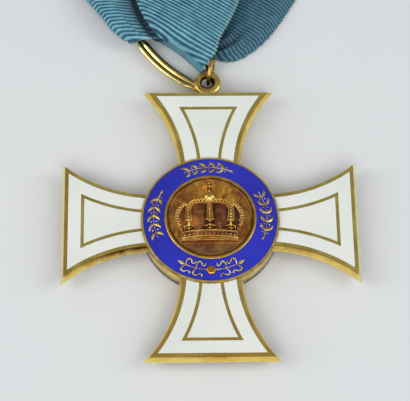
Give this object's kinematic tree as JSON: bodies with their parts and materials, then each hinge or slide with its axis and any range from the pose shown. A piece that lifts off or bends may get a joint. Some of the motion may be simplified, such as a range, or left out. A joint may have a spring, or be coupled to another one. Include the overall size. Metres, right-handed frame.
{
  "type": "order neck badge",
  "caption": "Enamelled cross with hollow-sided arms and a round crown medallion, hung by an eyelet, a wire ring and a long oval loop from a bunched neck ribbon, lying flat.",
  "frame": {"origin": "middle of the reverse plate's flat face, on the table", "axes": "+Y from the cross to the ribbon, +Z out of the cross's face, +X to the right as seen from above"},
  "size_m": [0.0553, 0.2417, 0.0058],
  "materials": {
    "gilt_metal": "polished gilt with darker rims",
    "antique_gilt": "toned gilt, dark in the hollows",
    "gilt_ornament": "bright gilt lines",
    "white_enamel": "glossy opaque enamel",
    "blue_enamel": "glossy enamel, deep blue",
    "ribbon_cloth": "ribbed silk ribbon"
  },
  "bodies": {
    "root": {"cross_body": "gilt_metal", "enamel_band_n": "white_enamel", "enamel_band_w": "white_enamel", "enamel_band_s": "white_enamel", "enamel_band_e": "white_enamel", "enamel_field_n": "white_enamel", "enamel_field_w": "white_enamel", "enamel_field_s": "white_enamel", "enamel_field_e": "white_enamel", "medallion_mount": "gilt_metal", "blue_ring": "blue_enamel", "crown_disc": "antique_gilt", "gilt_scroll": "gilt_ornament", "gilt_sprig_w": "gilt_ornament", "gilt_sprig_n": "gilt_ornament", "gilt_sprig_e": "gilt_ornament", "reverse_plate": "gilt_metal", "jump_ring": "gilt_metal", "ribbon_loop": "gilt_metal", "ribbon": "ribbon_cloth"}
  },
  "joints": []
}
